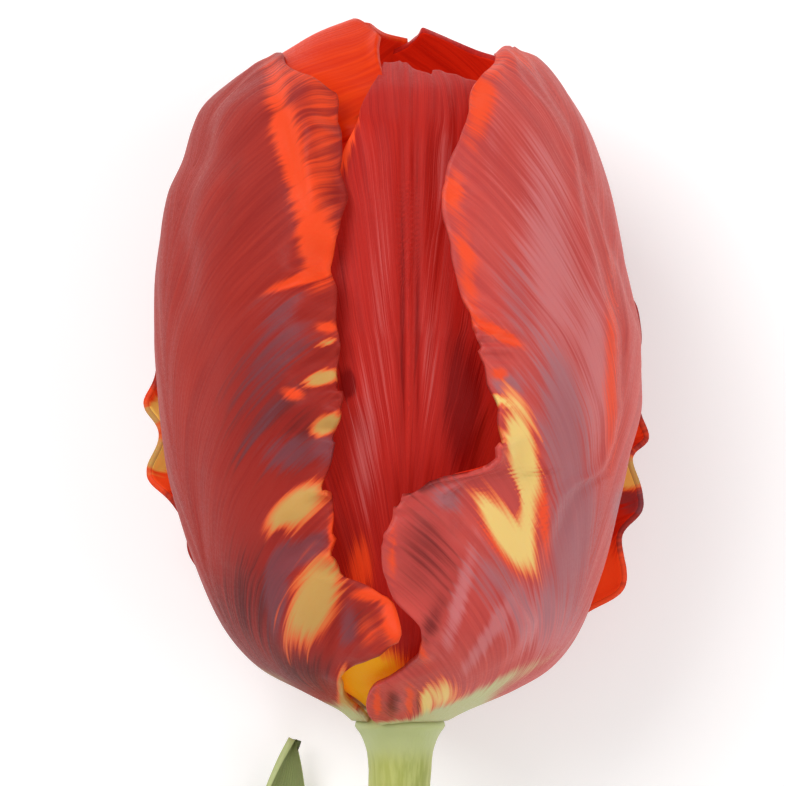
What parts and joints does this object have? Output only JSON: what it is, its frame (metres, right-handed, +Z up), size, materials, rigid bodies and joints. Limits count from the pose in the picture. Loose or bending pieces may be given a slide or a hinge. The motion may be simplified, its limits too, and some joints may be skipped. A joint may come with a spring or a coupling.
{
  "type": "parrot tulip",
  "caption": "Cut parrot tulip lying on its back, red and rose bloom with frilled tepals, green stem and two leaves.",
  "frame": {"origin": "the flat spot under the bloom, where its back outer tepal rests on the surface", "axes": "+Y runs from the stem to the tip of the bloom, +Z up out of the face of the bloom, +X to the right seen from above"},
  "size_m": [0.0813, 0.2977, 0.0624],
  "materials": {
    "tepal_red": "satin, faintly ribbed",
    "tepal_rose": "satin, faintly ribbed",
    "tepal_deep_red": "satin, faintly ribbed",
    "tepal_orange": "satin, faintly ribbed",
    "stem_green": "satin",
    "leaf_green": "matt with a grey bloom",
    "pistil_green": "satin",
    "anther_dark": "matt"
  },
  "bodies": {
    "root": {"outer_tepal_left": "tepal_red", "outer_tepal_right": "tepal_rose", "outer_tepal_back": "tepal_red", "inner_tepal_front": "tepal_deep_red", "inner_tepal_back_left": "tepal_orange", "inner_tepal_back_right": "tepal_deep_red", "stem": "stem_green", "leaf_upper": "leaf_green", "leaf_lower": "leaf_green", "pistil": "pistil_green", "stamen_1": "anther_dark", "stamen_2": "anther_dark", "stamen_3": "anther_dark", "stamen_4": "anther_dark", "stamen_5": "anther_dark", "stamen_6": "anther_dark"}
  },
  "joints": []
}
